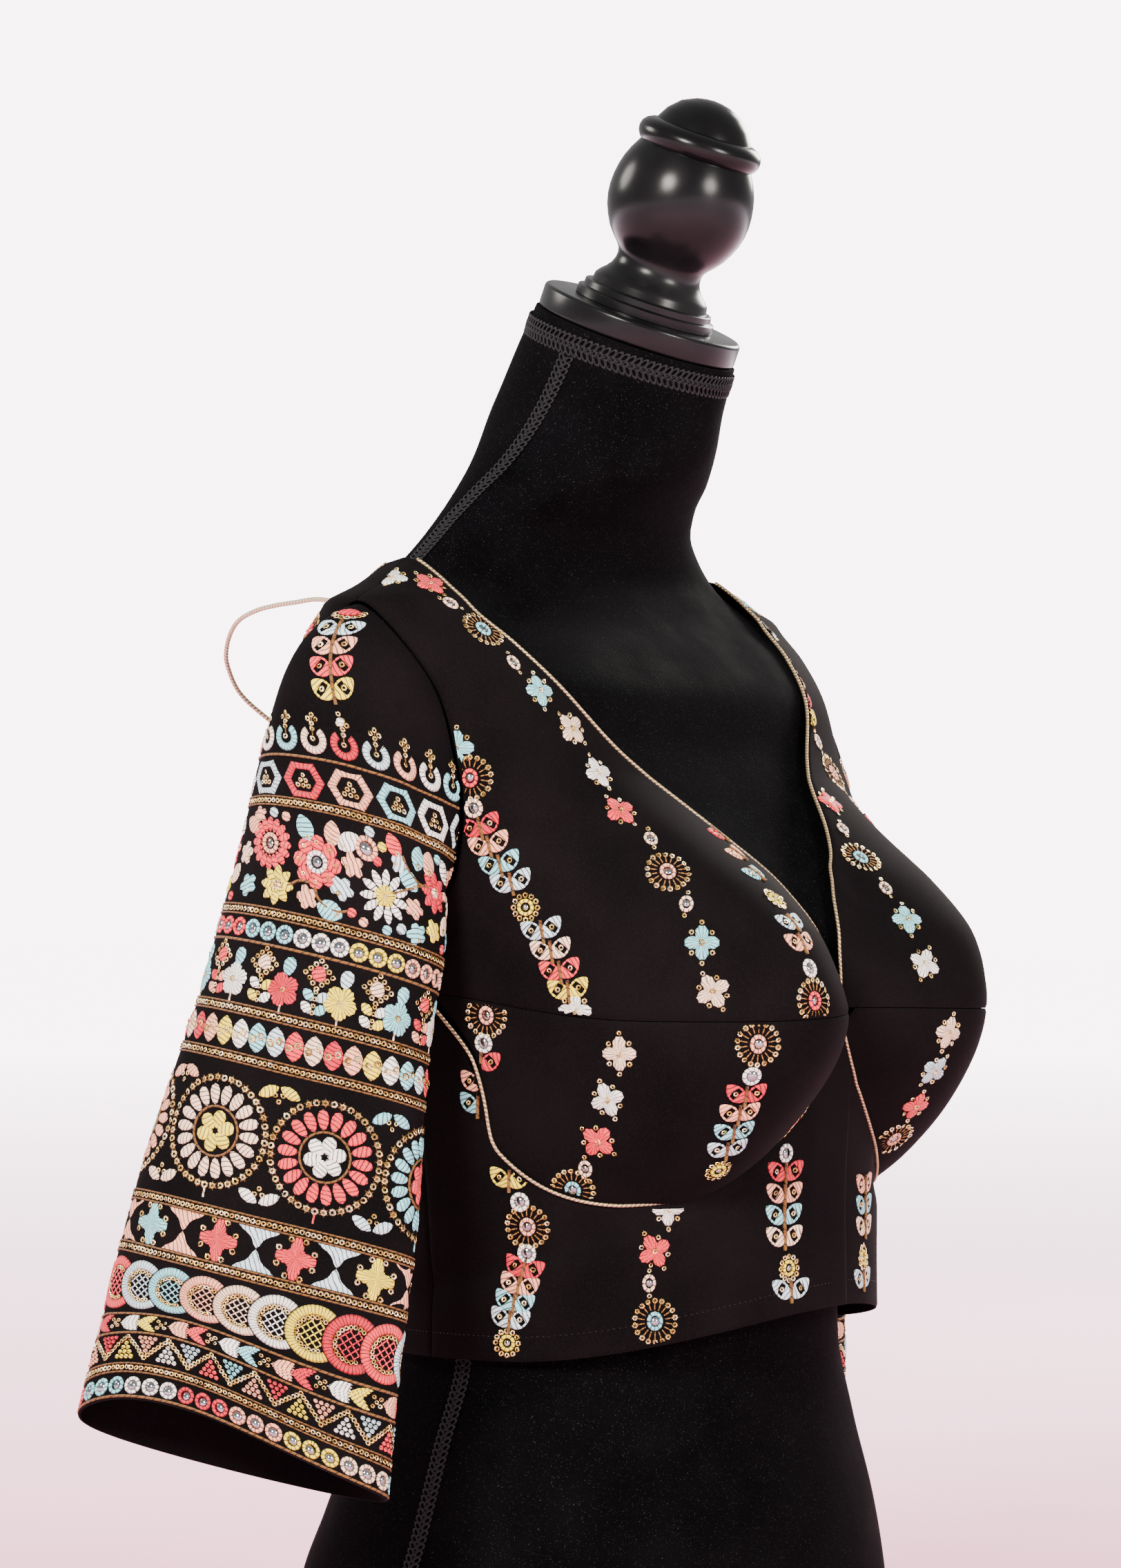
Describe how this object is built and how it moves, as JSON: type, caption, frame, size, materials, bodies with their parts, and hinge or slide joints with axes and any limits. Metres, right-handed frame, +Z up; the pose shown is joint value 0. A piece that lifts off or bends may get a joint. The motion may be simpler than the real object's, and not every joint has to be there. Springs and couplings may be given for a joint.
{
  "type": "choli blouse on a dress form",
  "caption": "Cropped choli blouse with cups, a V neck, flared three-quarter sleeves and a tied back cord, worn on a limbless dress form.",
  "frame": {"origin": "on the flat underside of the dress form, in the garment's plane of symmetry", "axes": "+Z up, the front of the garment faces -Y, the wearer's right is -X"},
  "size_m": [0.601, 0.3635, 0.8722],
  "materials": {
    "black_crepe": "matt crepe",
    "embroidered_crepe": "matt crepe covered in thread and sequin embroidery",
    "gold_cord": "metallic thread cord",
    "black_velvet": "velvet",
    "black_wood": "satin black paint on turned wood"
  },
  "bodies": {
    "root": {"form_body": "black_velvet", "neck_cap": "black_wood", "finial": "black_wood", "back": "black_crepe", "upper_cup_right": "black_crepe", "lower_cup_right": "black_crepe", "midriff_right": "black_crepe", "sleeve_right": "embroidered_crepe", "neck_piping_right": "gold_cord", "under_bust_piping_right": "gold_cord", "dori_right": "gold_cord", "dori_tail_right": "gold_cord", "upper_cup_left": "black_crepe", "lower_cup_left": "black_crepe", "midriff_left": "black_crepe", "sleeve_left": "embroidered_crepe", "neck_piping_left": "gold_cord", "under_bust_piping_left": "gold_cord", "dori_left": "gold_cord", "dori_tail_left": "gold_cord", "neck_piping_back": "gold_cord", "dori_knot": "gold_cord"}
  },
  "joints": []
}
